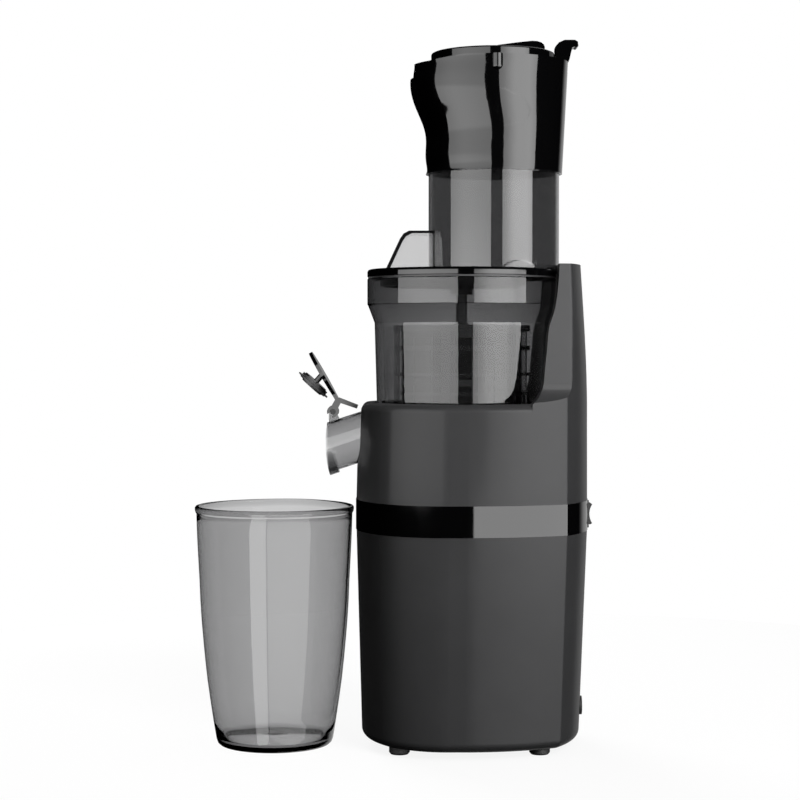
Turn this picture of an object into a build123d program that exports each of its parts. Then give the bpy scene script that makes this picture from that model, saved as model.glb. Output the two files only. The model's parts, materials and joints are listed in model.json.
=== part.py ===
"""Upright cold press juicer: a D-shaped motor base with a rear column, a lift-off juicing
bowl with auger, strainer and wiper brush, a turn-and-lift lid with a wide feed chute, a
funnel hopper with a hinged flap, a capped juice spout and a loose juice jug.

Row frame, millimetres: +Z up, origin on the drive axis at the level the feet stand on.
-X is the front (spout and jug), +X the rear (column and power switch)."""
from build123d import *
import os
from math import acos, atan2, cos, degrees, hypot, pi, radians, sin, sqrt, tan

# ---- housing, seen from above ---------------------------------------------------------
front_x = -67.6             # foremost point of the housing
rear_x = 80.6               # rearmost point
half_width = 66.0
front_radius = 74.0         # gentle curve across the front
shoulder_radius = 54.0      # front corners
side_start_x = 2.0          # where the sides begin to close in towards the rear
side_radius = 130.0
crease_x = 64.0             # rear corner, where side meets back
crease_radius = 3.5
wall = 2.6                  # every housing shell
# ---- housing, seen from the side ------------------------------------------------------
shell_bottom_z = 4.8
band_bottom_z = 138.0
band_height = 19.3
deck_z = 219.0
tower_top_z = 306.0
seam_step = 0.35            # the band stands proud of both housings by this much
foot_draw_in = 4.4          # the lower housing narrows by this much towards the floor
foot_shift = -0.8
deck_draw_in = 0.8
deck_shift = 0.6
bottom_edge_radius = 6.0
deck_edge_radius = 5.0
# ---- rear column ----------------------------------------------------------------------
tower_lean = 4.4            # its back leans forward by this much up to the top
tower_half_base = 45.0      # half width at its rear corners, at deck height
tower_half_top = 37.0
tower_side_splay = 12.0     # degrees by which its sides open towards the front
tower_base_sweep = 13.5     # concave radius from deck to column side
# ---- clearances -----------------------------------------------------------------------
gap = 0.3                   # between parts that move past each other
column_clear = 1.4          # behind the collar, the lid and the chute
seat = 0.2                  # under parts that are lifted off
bearing_gap = 0.05          # shafts and pins in their bores
screw_gap = 0.1
# ---- well and bowl --------------------------------------------------------------------
well_clear = 3.0            # round the bowl at deck height
well_floor_z = 166.0
well_wall = 2.4
bowl_foot_radius = 52.3     # outer radius of the bowl at its lower edge
bowl_low_draft = 1.9        # wider than that at deck height
bowl_high_draft = 1.4       # wider again just below the collar
bowl_neck_z = 269.5
collar_overhang = 4.6       # collar outside the neck
collar_bottom_z = 280.7
collar_top_z = 297.6
collar_wall = 2.8
bowl_wall = 2.2
bowl_floor_z = 186.5        # top of the juice chamber floor
bowl_floor = 2.5
gasket_thick = 1.0
lid_flange = 4.8
skirt_inset = 8.0           # lid skirt inside the collar's outer radius
skirt_wall = 2.0
skirt_depth = 6.2           # below the lid
# ---- juice spout and its cap ----------------------------------------------------------
spout_tip_x = -86.4
spout_tip_z = 189.4         # tube axis at the mouth
spout_slope = 18.0          # degrees the tube falls towards the mouth
spout_radius = 15.5
spout_wall = 1.3
mouth_curve = 110.0         # the mouth is slightly bowed, seen from the side
mouth_curve_rise = 5.6      # its foremost point above the tube axis
drip_lip = 1.9              # how far the lip hangs below the tube
drip_lip_length = 3.6
cap_pivot_x = -82.2
cap_pivot_z = 212.9
cap_pin_radius = 1.8
cap_width = 15.0
# ---- pulp outlet ----------------------------------------------------------------------
pulp_port_radius = 7.5
pulp_port_wall = 1.6
pulp_width = 26.0
pulp_reach_y = 73.0
# ---- lid, chute and hopper ------------------------------------------------------------
chute_x = 20.5
chute_radius = 41.6
chute_wall = 2.0
chute_height = 70.6         # above the lid
hopper_overlap = 10.0       # sleeve over the chute
hopper_sleeve = 22.0        # height of the straight sleeve
hopper_flare = 36.4         # height over which it widens
hopper_brim = 12.2          # from there to the rim
hopper_wall = 1.5
hopper_flare_depth = 3.6    # how much it widens on each side, along Y
hopper_front_reach = 53.1   # rim ahead of the chute's axis
hopper_rear_reach = 47.1    # and behind it
nose_drop = 2.2             # the rim dips over the hinge at the front
rib_radius = 3.7            # finger ribs on both sides of the rim
rib_depth = 7.1
mouth_radius = 37.9
mouth_shift = 2.2           # mouth and flap behind the middle of the rim
flap_radius = 39.2
flap_thick = 5.8
flap_dome = 2.4
flap_step = 0.9             # shadow groove under the flap's edge
flap_pivot_drop = 7.0       # hinge below the rim
flap_pivot_inset = 8.5      # and behind the foremost point
flap_knuckle_radius = 6.4
flap_knuckle_width = 24.0
latch_inset = 4.6           # latch pivot ahead of the rearmost point
latch_drop = 3.3            # and below the rim
latch_width = 12.0
# ---- drive ----------------------------------------------------------------------------
gear_pressure = 25.0        # degrees
gear_play = 0.10            # each tooth is this much thinner than half a pitch
motor_teeth = 12
wheel_teeth = 63
fast_module = 1.0
idler_teeth = 12
output_teeth = 48
slow_module = 1.25
bowl_teeth = 16             # auger gear and the small gear beside it
brush_teeth = 48
bowl_module = 1.5
gearbox_drop = 46.0         # its floor below the band
gearbox_wall = 3.0
fast_gear_thick = 10.0
slow_gear_thick = 12.0
gear_space = 2.0            # between the two stages
drive_shaft_radius = 5.0
drive_hex = 12.0            # across flats of the coupling above the well floor
motor_shaft_radius = 3.0
motor_radius = 27.0
motor_bottom_z = 22.0
rotor_radius = 13.0
# ---- auger, strainer, brush -----------------------------------------------------------
auger_radius = 35.4
auger_core_radius = 12.0
auger_turns = 1.6
auger_top_z = 285.0
strainer_radius = 38.5
strainer_wall = 1.3
strainer_base_z = 195.5
strainer_top_z = 268.0
brush_inner_radius = 41.2
brush_bar = 2.4
# ---- jug ------------------------------------------------------------------------------
jug_x = -119.8
jug_height = 152.8
jug_rim_radius = 50.8
jug_wall = 2.0
jug_base_radius = 36.7
# ---- switch ---------------------------------------------------------------------------
switch_width = 11.0
switch_margin = 1.6         # between the rocker's opening and the band's edges
switch_play = 1.2           # above and below the rocker, so that it can tilt


# ======================================================================= helpers
def post(radius, low, high, x=0.0, y=0.0):
    """Upright cylinder between two heights."""
    return Pos(x, y, (low + high) / 2) * Cylinder(radius, high - low)


def ring(outer, inner, low, high, x=0.0, y=0.0):
    """Upright tube between two heights."""
    return post(outer, low, high, x, y) - post(inner, low - 1, high + 1, x, y)


def block(x0, x1, y0, y1, z0, z1):
    """Box between two corners."""
    return Pos((x0 + x1) / 2, (y0 + y1) / 2, (z0 + z1) / 2) * Box(x1 - x0, y1 - y0, z1 - z0)


def turned(points):
    """Body of revolution about Z from its (radius, z) outline."""
    return revolve(Plane.XZ * make_face(Polyline(*points, close=True)), Axis.Z)


def bar_y(radius, x, z, half):
    """Cylinder along Y, centred on the X-Z plane."""
    return Pos(x, 0, z) * Rot(90, 0, 0) * Cylinder(radius, 2 * half)


def slab_y(points, half):
    """Prism along Y from an (x, z) outline, centred on the X-Z plane."""
    return extrude(Plane.XZ * make_face(Polyline(*points, close=True)), half, both=True)


def around(count, radius, start=0.0):
    """Places on a circle about Z, each turned to face outwards."""
    return [Rot(0, 0, start + 360.0 * k / count) * Pos(radius, 0, 0) for k in range(count)]


def joined(*pieces):
    """Union of overlapping or touching solids."""
    whole = pieces[0]
    for piece in pieces[1:]:
        whole = whole + piece
    return whole


def hexagon(across_flats, low, high):
    """Upright hexagonal prism."""
    face = RegularPolygon(across_flats / sqrt(3), 6)
    return extrude(Pos(0, 0, low) * face, high - low)


def save(name, shape):
    """Write one named sub-part."""
    export_step(shape, f"parts/{name}.step")


# ======================================================================= gears
def half_tooth(radius, pitch_radius, thickness):
    """Half the angle that an involute tooth fills at a radius."""
    base = pitch_radius * cos(radians(gear_pressure))
    slope = acos(base / max(radius, base))
    pitch_slope = radians(gear_pressure)
    return (thickness / (2 * pitch_radius) + (tan(pitch_slope) - pitch_slope)
            - (tan(slope) - slope))


def gear_face(teeth, module, turn=0.0, ring_space=False):
    """Toothed outline. ring_space gives the hole of an internal gear instead."""
    pitch_radius = teeth * module / 2
    tip = pitch_radius + module * (1.25 if ring_space else 1.0)
    root = pitch_radius - module * (1.0 if ring_space else 1.25)
    thickness = pi * module / 2 + (gear_play if ring_space else -gear_play)
    flank = [root, max(root, pitch_radius - 0.55 * module), pitch_radius,
             pitch_radius + 0.55 * module, tip]
    points = []
    for tooth in range(teeth):
        middle = radians(turn) + 2 * pi * tooth / teeth
        for side, radii in ((-1, flank), (1, flank[::-1])):
            for radius in radii:
                angle = middle + side * half_tooth(radius, pitch_radius, thickness)
                points.append((radius * cos(angle), radius * sin(angle)))
    return make_face(Polyline(*points, close=True))


def gear(teeth, module, low, high, turn=0.0):
    """Solid external gear."""
    return extrude(Pos(0, 0, low) * gear_face(teeth, module, turn), high - low)


def meshed_turn(turn, teeth, other_teeth, direction):
    """Rotation in degrees that puts an outside gear in mesh with one at this rotation."""
    phase = teeth * (direction - turn) / 360.0
    return direction + 180.0 - 360.0 * (0.5 - phase) / other_teeth


def ring_turn(turn, teeth, ring_teeth, direction):
    """Rotation in degrees of an internal gear round a gear at this rotation."""
    phase = teeth * (direction - turn) / 360.0
    return direction - 360.0 * phase / ring_teeth


# ======================================================================= housing outline
shoulder_y = half_width - shoulder_radius
front_centre_x = front_x + front_radius
shoulder_x = front_centre_x - sqrt((front_radius - shoulder_radius) ** 2 - shoulder_y ** 2)
side_y = half_width - side_radius
crease_y = side_y + sqrt(side_radius ** 2 - (crease_x - side_start_x) ** 2)
rear_radius = (crease_y ** 2 + (rear_x - crease_x) ** 2) / (2 * (rear_x - crease_x))
rear_centre_x = rear_x - rear_radius


def rear_corner(inset):
    """Where the drawn-in side and back meet, on the +Y side."""
    near, far = side_radius - inset, rear_radius - inset
    dx, dy = rear_centre_x - side_start_x, -side_y
    apart = hypot(dx, dy)
    along = (near ** 2 - far ** 2 + apart ** 2) / (2 * apart)
    across = sqrt(near ** 2 - along ** 2)
    return (side_start_x + (along * dx + across * dy) / apart,
            side_y + (along * dy - across * dx) / apart)


def plan(inset=0.0, shift=0.0, z=0.0, rounded=True):
    """The housing's outline at one height as a face, drawn in by inset."""
    corner_x, corner_y = rear_corner(inset)
    front_angle = degrees(atan2(shoulder_y, front_centre_x - shoulder_x))
    side_angle = degrees(atan2(corner_y - side_y, corner_x - side_start_x))
    rear_angle = degrees(atan2(corner_y, corner_x - rear_centre_x))
    shoulder = shoulder_radius - inset
    width = half_width - inset
    edges = [CenterArc((front_centre_x, 0), front_radius - inset, 180 - front_angle, 2 * front_angle),
             CenterArc((shoulder_x, shoulder_y), shoulder, 90, 90 - front_angle),
             CenterArc((shoulder_x, -shoulder_y), shoulder, 180 + front_angle, 90 - front_angle),
             Line((shoulder_x, width), (side_start_x, width)),
             Line((shoulder_x, -width), (side_start_x, -width)),
             CenterArc((side_start_x, side_y), side_radius - inset, side_angle, 90 - side_angle),
             CenterArc((side_start_x, -side_y), side_radius - inset, -90, 90 - side_angle),
             CenterArc((rear_centre_x, 0), rear_radius - inset, -rear_angle, 2 * rear_angle)]
    face = make_face(edges)
    if rounded:
        face = fillet(face.vertices().sort_by(Axis.X)[-2:], crease_radius)
    return Pos(shift, 0, z) * face


def drawn(low, low_inset, low_shift, high, high_inset, high_shift, rounded=True):
    """Housing form that tapers between two heights."""
    return loft([plan(low_inset, low_shift, low, rounded), plan(high_inset, high_shift, high, rounded)])


def rounded_edge(z, inset, shift, radius, up):
    """Quarter-round rim of the housing form; its flat end is at z, up is +1 or -1."""
    steps = 5
    slices = []
    for k in range(steps + 1):
        angle = pi / 2 * k / steps
        slices.append(plan(inset + radius * (1 - cos(angle)), shift, z + up * radius * (sin(angle) - 1)))
    return loft(slices)


# ======================================================================= shared places
bowl_deck_radius = bowl_foot_radius + bowl_low_draft
bowl_neck_radius = bowl_deck_radius + bowl_high_draft
collar_radius = bowl_neck_radius + collar_overhang
well_radius = bowl_deck_radius + well_clear
gear_reach = fast_module * (motor_teeth + wheel_teeth) / 2      # idler axis behind the drive axis
bowl_reach = bowl_module * (brush_teeth - bowl_teeth) / 2       # small bowl gear from the axis
gearbox_bottom_z = band_bottom_z - gearbox_drop
fast_gear_z = gearbox_bottom_z + gearbox_wall + 1.5
slow_gear_z = fast_gear_z + fast_gear_thick + gear_space
gearbox_rim_z = slow_gear_z + slow_gear_thick + 1.5
gearbox_top_z = gearbox_rim_z + 4.0
column_radius = 4.0
column_places = [(43.0, 41.5), (43.0, -41.5), (-33.0, 40.0), (-33.0, -40.0)]
band_top_z = band_bottom_z + band_height
column_joint_z = band_bottom_z - 8.0
tie_radius = 1.6
tie_top_z = column_joint_z + 14.0
gearbox_ears = [(30.0, 42.0), (30.0, -42.0), (-21.0, 38.5), (-21.0, -38.5)]
ear_radius = 4.5
bearing_radius = 11.0
bearing_thick = 7.0
upper_bearing_z = well_floor_z - well_wall - 2.6 - bearing_thick
seal_radius = 8.0
plate_thick = 2.8
plate_z = shell_bottom_z + plate_thick
plate_inset = seam_step + foot_draw_in + bottom_edge_radius + 1.5
feet_places = [(-39.7, 36.0), (-39.7, -36.0), (47.9, 36.0), (47.9, -36.0)]
foot_radius = 6.5
foot_peg = 2.5
board_x = -49.0
board_half = 22.0
board_thick = 1.6
grommet_z = 24.0
grommet_radius = 6.0
switch_x = rear_x - 4.6
switch_low_z = band_bottom_z + switch_margin
switch_high_z = band_top_z - switch_margin
bowl_foot_z = well_floor_z + seat
hub_radius = 10.0
seal_ring_wall = 1.25
gear_zone_z = bowl_floor_z + gap
spout_tan = tan(radians(spout_slope))
spout_cos = cos(radians(spout_slope))
lid_bottom_z = collar_top_z + gasket_thick
lid_top_z = lid_bottom_z + lid_flange
skirt_radius = collar_radius - skirt_inset
chute_top_z = lid_top_z + chute_height
hopper_radius = chute_radius + gap + hopper_wall
hopper_bottom_z = chute_top_z - hopper_overlap
hopper_straight_z = hopper_bottom_z + hopper_sleeve
hopper_shoulder_z = hopper_straight_z + hopper_flare
hopper_top_z = hopper_shoulder_z + hopper_brim
hopper_half_depth = hopper_radius + hopper_flare_depth
hopper_front_x = chute_x - hopper_front_reach
hopper_rear_x = chute_x + hopper_rear_reach
mouth_x = (hopper_front_x + hopper_rear_x) / 2 + mouth_shift
flap_bottom_z = hopper_top_z + seat
flap_pivot_x = hopper_front_x + flap_pivot_inset
flap_pivot_z = hopper_top_z - flap_pivot_drop
latch_x = hopper_rear_x - latch_inset
latch_z = hopper_top_z - latch_drop


def lower_inset(z):
    """How far the lower housing is drawn in at a height."""
    return seam_step + foot_draw_in * (band_bottom_z - z) / (band_bottom_z - shell_bottom_z)


def lower_shift(z):
    return foot_shift * (band_bottom_z - z) / (band_bottom_z - shell_bottom_z)


# ======================================================================= housing shells
def lower_housing():
    edge_z = shell_bottom_z + bottom_edge_radius
    inset, shift = lower_inset(edge_z), lower_shift(edge_z)
    outer = drawn(edge_z, inset, shift, band_bottom_z, seam_step, 0.0)
    outer += rounded_edge(shell_bottom_z, inset, shift, bottom_edge_radius, -1)
    ledge_z = plate_z + 2.2
    low = lower_inset(ledge_z) + wall
    inner = drawn(ledge_z, low, lower_shift(ledge_z), band_bottom_z, seam_step + wall, 0.0, False)
    opening = extrude(plan(plate_inset - gap, foot_shift, shell_bottom_z - 1), plate_thick + 1)
    ledge_hole = extrude(plan(plate_inset + 4.0, foot_shift, shell_bottom_z), ledge_z)
    shell = outer - inner - opening - ledge_hole
    for x, y in column_places:
        shell += post(column_radius, plate_z, column_joint_z, x, y)
    rib_x = front_x + lower_inset(grommet_z) + 3.6
    for side in (-1, 1):
        near, far = sorted((side * (board_half + seat), side * (board_half + 2.2)))
        shell += block(rib_x, board_x + 3, near, far, 24.0, 88.0)
    for x, y in column_places:
        shell -= post(tie_radius + screw_gap, plate_z - 1, column_joint_z + 1, x, y)
    grommet = Pos(rear_x, 0, grommet_z) * Rot(0, 90, 0) * Cylinder(grommet_radius + screw_gap, 30)
    return shell - grommet


def trim_band():
    height = band_top_z - band_bottom_z
    band = extrude(plan(0.0, 0.0, band_bottom_z), height)
    band -= extrude(plan(wall, 0.0, band_bottom_z - 1, False), height + 2)
    window = switch_width / 2 + 1.5
    return band - block(rear_x - 12, rear_x + 5, -window, window, switch_low_z - 0.8, switch_high_z + 0.8)


def tower_plan(z, half, lean):
    """Outline of the rear column at one height."""
    radius = rear_radius - seam_step - deck_draw_in
    centre = rear_centre_x + deck_shift - lean
    corner_x = centre + sqrt(radius ** 2 - half ** 2)
    front = 30.0
    front_half = half + (corner_x - front) * tan(radians(tower_side_splay))
    face = make_face([ThreePointArc((corner_x, -half), (centre + radius, 0), (corner_x, half)),
                      Line((corner_x, half), (front, front_half)),
                      Line((front, front_half), (front, -front_half)),
                      Line((front, -front_half), (corner_x, -half))])
    face = fillet(face.vertices().sort_by(Axis.X)[-2:], crease_radius)
    return Pos(0, 0, z) * face


def tower_front():
    """Side view of the column: everything behind its front edge."""
    rim = collar_bottom_z
    edge = [(18.6, deck_z), (15.0, deck_z + 3.5), (11.4, deck_z + 11.0), (10.3, deck_z + 20.0),
            (8.6, deck_z + 36.0), (7.9, rim - 17.7), (6.6, rim - 11.7), (4.6, rim - 6.2),
            (3.2, rim - 0.7), (0.6, tower_top_z)]
    points = [(collar_radius - inside, z) for inside, z in edge]
    start, end = points[0], points[-1]
    curve = Spline(*points)
    sides = Polyline(end, (rear_x + 10, tower_top_z), (rear_x + 10, deck_z - 14),
                     (start[0], deck_z - 14), start)
    return extrude(Plane.XZ * make_face([curve, *sides.edges()]), half_width, both=True)


def tower_foot_sweep():
    """Concave sweep from the deck up the sides of the column."""
    radius = tower_base_sweep
    centre = rear_centre_x + deck_shift
    arc = rear_radius - seam_step - deck_draw_in
    corner_x = centre + sqrt(arc ** 2 - tower_half_base ** 2)
    section = Polyline((-1.0, -radius), (radius, -radius), (radius, 0))
    hollow = ThreePointArc((radius, 0), (radius * (1 - sqrt(0.5)), radius * (1 - sqrt(0.5))), (0, radius))
    close = Polyline((0, radius), (-1.0, radius), (-1.0, -radius))
    face = make_face([*section.edges(), hollow, *close.edges()])
    prism = extrude(Plane(origin=(0, 0, 0), x_dir=(0, 1, 0), z_dir=(1, 0, 0)) * face, 80, both=True)
    turned_prism = Pos(corner_x, tower_half_base, deck_z) * Rot(0, 0, -tower_side_splay) * prism
    return turned_prism + mirror(turned_prism, Plane.XZ)


def bowl_clearance():
    """Space behind the bowl that the column leaves free, so the bowl lifts straight out."""
    neck = bowl_neck_radius + well_clear
    rim = collar_radius + column_clear
    above = max(rim, chute_x + chute_radius + column_clear)
    return turned([(0, deck_z - 20), (neck, deck_z - 20), (neck, bowl_neck_z - 8),
                   (rim, bowl_neck_z - 2), (rim, collar_top_z - 2), (above, collar_top_z + 2),
                   (above, tower_top_z + 5), (0, tower_top_z + 5)])


def spout_cutter(radius, low_x, high_x):
    """Cylinder on the juice spout's axis between two places along X."""
    middle_x = (low_x + high_x) / 2
    middle_z = spout_tip_z + (middle_x - spout_tip_x) * spout_tan
    length = (high_x - low_x) / spout_cos
    return Pos(middle_x, 0, middle_z) * Rot(0, 90 - spout_slope, 0) * Cylinder(radius, length)


def spout_notch(grow, low_x, high_x, top):
    """U-shaped passage for the spout, open upwards."""
    radius = spout_radius + grow
    axis_z = spout_tip_z + (high_x - spout_tip_x) * spout_tan
    tube = spout_cutter(radius, low_x - 8, high_x + 8)
    slot = block(low_x - 8, high_x + 8, -radius, radius, axis_z, top)
    return (tube + slot) & block(low_x, high_x, -40, 40, well_floor_z, top)


def upper_outer():
    """Outside form of the upper housing with its rear column."""
    edge_z = deck_z - deck_edge_radius
    inset = seam_step + deck_draw_in
    outer = drawn(band_top_z, seam_step, 0.0, edge_z, inset, deck_shift)
    outer += rounded_edge(deck_z, inset, deck_shift, deck_edge_radius, 1)
    column = loft([tower_plan(deck_z - tower_base_sweep, tower_half_base, 0.0),
                   tower_plan(deck_z, tower_half_base, 0.0),
                   tower_plan((deck_z + tower_top_z) / 2, (tower_half_base + tower_half_top) / 2,
                              tower_lean * 0.36),
                   tower_plan(tower_top_z, tower_half_top, tower_lean)], ruled=False)
    limits = extrude(plan(inset, deck_shift, deck_z - tower_base_sweep), 3 * tower_base_sweep)
    column = (column & tower_front()) + (tower_foot_sweep() & limits & tower_front())
    return outer + column


def tower_hollow():
    """Inside of the rear column, open downwards."""
    low = tower_plan(deck_z - tower_base_sweep, tower_half_base - wall - 1.0, wall)
    high = tower_plan(tower_top_z - wall, tower_half_top - wall - 1.0, tower_lean + wall)
    clearance = turned([(0, deck_z - 40), (chute_x + chute_radius + 4.4, deck_z - 40),
                        (chute_x + chute_radius + 4.4, tower_top_z + 5), (0, tower_top_z + 5)])
    return loft([low, high]) - clearance


def upper_housing():
    outer = upper_outer() - bowl_clearance()
    deck_under = deck_z - wall
    inset = seam_step + wall
    cavity = drawn(band_top_z, inset, 0.0, deck_under, inset + deck_draw_in, deck_shift, False)
    well_outer = well_radius + well_wall
    solid_zone = post(well_outer, well_floor_z - well_wall, deck_z)
    solid_zone += spout_notch(wall, front_x, -well_radius + 6, deck_z)
    pulp_half = pulp_width / 2 + 0.8
    solid_zone += block(-pulp_half - wall, pulp_half + wall, 20, half_width, well_floor_z - well_wall, deck_z)
    solid_zone += post(bearing_radius + 3, upper_bearing_z - 1, well_floor_z)
    for x, y in gearbox_ears:
        solid_zone += post(ear_radius, gearbox_top_z, well_floor_z, x, y)
    cavity -= solid_zone
    shell = outer - cavity - tower_hollow()
    for x, y in gearbox_ears:
        shell += post(ear_radius, gearbox_top_z, well_floor_z - 1, x, y)
    for x, y in column_places:
        top = deck_under + 1 if x > 0 else well_floor_z - 1
        shell += post(column_radius, column_joint_z, top, x, y)
    shell -= post(well_radius, well_floor_z, deck_z + 5)
    shell -= spout_notch(1.0, front_x - 5, -well_radius + 6, deck_z + 5)
    shell -= block(-pulp_half, pulp_half, 20, half_width + 5, well_floor_z, deck_z + 5)
    shell -= post(seal_radius + bearing_gap, upper_bearing_z, well_floor_z + 1)
    shell -= post(bearing_radius + bearing_gap, upper_bearing_z - 2, upper_bearing_z + bearing_thick)
    for x, y in column_places:
        shell -= post(tie_radius + bearing_gap, column_joint_z - 1, tie_top_z, x, y)
    for x, y in gearbox_ears:
        shell -= post(tie_radius + bearing_gap, gearbox_top_z - 1, gearbox_top_z + 12, x, y)
    return shell


def base_plate():
    plate = extrude(plan(plate_inset, foot_shift, shell_bottom_z), plate_thick)
    for row in range(-3, 4):
        plate -= block(-16, 16, 6.0 * row - 1.5, 6.0 * row + 1.5, shell_bottom_z - 1, plate_z + 1)
    for x, y in feet_places:
        plate -= post(foot_peg + bearing_gap, shell_bottom_z - 1, plate_z + 1, x, y)
    for x, y in column_places:
        plate -= post(tie_radius + screw_gap, shell_bottom_z - 1, plate_z + 1, x, y)
        plate -= post(3.3, shell_bottom_z - 1, shell_bottom_z + 1.5, x, y)
    return plate


def foot(x, y):
    pad = turned([(0, 0), (foot_radius - 1.0, 0), (foot_radius, 1.2), (foot_radius, shell_bottom_z),
                  (0, shell_bottom_z)])
    return Pos(x, y, 0) * pad + post(foot_peg, shell_bottom_z - 1, plate_z, x, y)


def screw(x, y, head_z, tip_z, up=True, head_radius=3.0):
    """Screw with its head's seat at head_z, its tip at tip_z and a cross recess."""
    head = 1.3
    low, high = (head_z - head, head_z) if up else (head_z, head_z + head)
    body = post(head_radius, low, high, x, y)
    body += post(tie_radius, min(head_z, tip_z), max(head_z, tip_z), x, y)
    outside = low if up else high
    for wide, narrow in ((3.2, 0.7), (0.7, 3.2)):
        body -= Pos(x, y, outside) * Box(wide, narrow, 1.0)
    return body


def tie_screws():
    return Compound([screw(x, y, shell_bottom_z + 1.5, tie_top_z - 1).solid() for x, y in column_places])


# ======================================================================= drive train
def gearbox_outline(radius, low, high):
    """Upright prism that wraps both gear axes."""
    body = post(radius, low, high) + post(radius, low, high, gear_reach)
    return body + block(0, gear_reach, -radius, radius, low, high)


gearbox_inner = fast_module * (wheel_teeth + 2) / 2 + 0.8
gearbox_outer = gearbox_inner + gearbox_wall
axle_radius = 4.0
shaft_top_z = well_floor_z + 33.0
coupling_z = well_floor_z + 2.4
spigot_radius = 3.5
motor_top_z = gearbox_bottom_z - 4.0


def ear_blocks(low, high):
    ears = []
    for x, y in gearbox_ears:
        ears.append(post(ear_radius, low, high, x, y))
        inner = y - ear_radius * 2 if y > 0 else y + ear_radius * 2
        near, far = sorted((y, inner))
        ears.append(block(x - ear_radius, x + ear_radius, near, far, low, high))
    return ears


def gearbox_case():
    case = joined(gearbox_outline(gearbox_outer, gearbox_bottom_z, gearbox_rim_z),
                  *ear_blocks(gearbox_rim_z - 10, gearbox_rim_z))
    case -= gearbox_outline(gearbox_inner, gearbox_bottom_z + gearbox_wall, gearbox_rim_z + 1)
    case -= post(motor_shaft_radius + 1.0, gearbox_bottom_z - 1, gearbox_rim_z)
    case -= post(axle_radius + bearing_gap / 2, gearbox_bottom_z + 0.8, gearbox_rim_z, gear_reach)
    for x, y in gearbox_ears:
        case -= post(tie_radius + screw_gap, gearbox_rim_z - 20, gearbox_rim_z + 1, x, y)
    for place in around(3, motor_radius - 8, 60):
        case -= place * Pos(0, 0, gearbox_bottom_z) * Cylinder(tie_radius + bearing_gap, 4)
    return case


def gearbox_cover():
    cover = joined(gearbox_outline(gearbox_outer, gearbox_rim_z, gearbox_top_z),
                   *ear_blocks(gearbox_rim_z, gearbox_top_z),
                   post(bearing_radius + 3, gearbox_top_z, gearbox_top_z + bearing_thick),
                   post(axle_radius + 3, gearbox_top_z, gearbox_top_z + 2, gear_reach))
    cover -= post(drive_shaft_radius + 2.5, gearbox_rim_z - 1, gearbox_top_z + 1)
    cover -= post(bearing_radius + bearing_gap, gearbox_top_z, gearbox_top_z + bearing_thick + 1)
    cover -= post(axle_radius + bearing_gap / 2, gearbox_rim_z - 1, gearbox_top_z, gear_reach)
    for x, y in gearbox_ears:
        cover -= post(tie_radius + screw_gap, gearbox_rim_z - 1, gearbox_top_z + 1, x, y)
    return cover


def gearbox_screws():
    return Compound([screw(x, y, gearbox_rim_z - 10, gearbox_top_z + 11).solid() for x, y in gearbox_ears])


def idler_axle():
    return post(axle_radius - bearing_gap / 2, gearbox_bottom_z + 0.8, gearbox_top_z, gear_reach)


def shaft_bearings():
    inner = drive_shaft_radius + bearing_gap
    lows = (gearbox_top_z, upper_bearing_z)
    return Compound([ring(bearing_radius, inner, low, low + bearing_thick).solid() for low in lows])


def bearing_clip():
    outer = bearing_radius + bearing_gap / 2
    return ring(outer, bearing_radius - 2.0, upper_bearing_z - 1.0, upper_bearing_z)


def shaft_seal():
    sleeve = ring(seal_radius, drive_shaft_radius + gap, upper_bearing_z + bearing_thick, well_floor_z)
    return sleeve + ring(seal_radius + 3.0, drive_shaft_radius + gap, well_floor_z, well_floor_z + 1.6)


wheel_turn = meshed_turn(0.0, motor_teeth, wheel_teeth, 0.0)
output_turn = meshed_turn(0.0, idler_teeth, output_teeth, 180.0)


def idler_wheel():
    wheel = Pos(gear_reach, 0, 0) * gear(wheel_teeth, fast_module, fast_gear_z,
                                         fast_gear_z + fast_gear_thick, wheel_turn)
    for place in around(6, wheel_teeth * fast_module * 0.32):
        wheel -= Pos(gear_reach, 0, fast_gear_z + fast_gear_thick / 2) * place * Cylinder(5.0, 20)
    core = idler_teeth * slow_module / 2 - 1.25 * slow_module - 0.1
    return wheel - post(core, fast_gear_z - 1, slow_gear_z, gear_reach)


def idler_pinion():
    core = idler_teeth * slow_module / 2 - 1.25 * slow_module - 0.1
    top = slow_gear_z + slow_gear_thick
    pinion = Pos(gear_reach, 0, 0) * gear(idler_teeth, slow_module, fast_gear_z + fast_gear_thick, top)
    pinion += post(core - 0.02, fast_gear_z, fast_gear_z + fast_gear_thick + 1, gear_reach)
    return pinion - post(axle_radius - bearing_gap / 2 + bearing_gap, fast_gear_z - 1, top + 1, gear_reach)


def output_gear():
    top = slow_gear_z + slow_gear_thick
    wheel = gear(output_teeth, slow_module, slow_gear_z, top, output_turn)
    wheel -= ring(output_teeth * slow_module / 2 - 5, drive_shaft_radius + 6, top - 3, top + 1)
    return wheel - post(drive_shaft_radius + 0.02, slow_gear_z - 1, top + 1)


def drive_shaft():
    shaft = post(drive_shaft_radius, slow_gear_z, coupling_z)
    return shaft + post(spigot_radius, coupling_z - 1, shaft_top_z - 2)


def drive_coupling():
    return (hexagon(drive_hex, coupling_z, shaft_top_z)
            - post(spigot_radius + 0.02, coupling_z - 1, shaft_top_z - 2))


# ======================================================================= motor
rotor_low_z = motor_bottom_z + 10.0
rotor_high_z = motor_top_z - 16.0
fan_z = motor_bottom_z - 11.0


def motor_can():
    can = ring(motor_radius, motor_radius - 1.6, motor_bottom_z, motor_top_z)
    can += ring(motor_radius, 8.0 + bearing_gap, motor_bottom_z, motor_bottom_z + 1.6)
    can += ring(10.0, 8.0 + bearing_gap, motor_bottom_z, motor_bottom_z + 6.0)
    for place in around(4, motor_radius, 45):
        can -= place * Pos(0, 0, motor_top_z - 9) * Box(6, 9, 8)
    return can


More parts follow.
